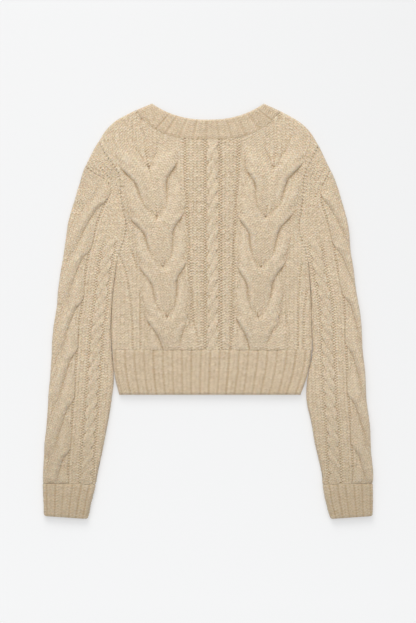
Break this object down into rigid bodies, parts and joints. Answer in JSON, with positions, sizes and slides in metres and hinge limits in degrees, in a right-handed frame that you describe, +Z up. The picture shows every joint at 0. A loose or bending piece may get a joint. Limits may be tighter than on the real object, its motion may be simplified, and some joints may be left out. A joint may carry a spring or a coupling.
{
  "type": "cardigan",
  "caption": "Cropped chunky cable-knit cardigan with ribbed neckband, hem and cuffs, laid flat face down with its back up.",
  "frame": {"origin": "centre of the garment's outline, on the surface that it lies on", "axes": "+Y towards the neck, +X towards the right of the back as seen, +Z up, out of the back"},
  "size_m": [0.5652, 0.712, 0.0163],
  "materials": {
    "knit": "matte chunky wool-blend knit, oatmeal beige",
    "button": "satin horn-coloured resin"
  },
  "bodies": {
    "root": {"back": "knit", "front_left": "knit", "front_right": "knit", "sleeve_left": "knit", "sleeve_right": "knit", "cuff_left": "knit", "cuff_right": "knit", "hem_back": "knit", "hem_front_left": "knit", "hem_front_right": "knit", "neckband_back": "knit", "front_band_left": "knit", "front_band_right": "knit", "button_1": "button", "button_2": "button", "button_3": "button", "button_4": "button", "button_5": "button"}
  },
  "joints": []
}
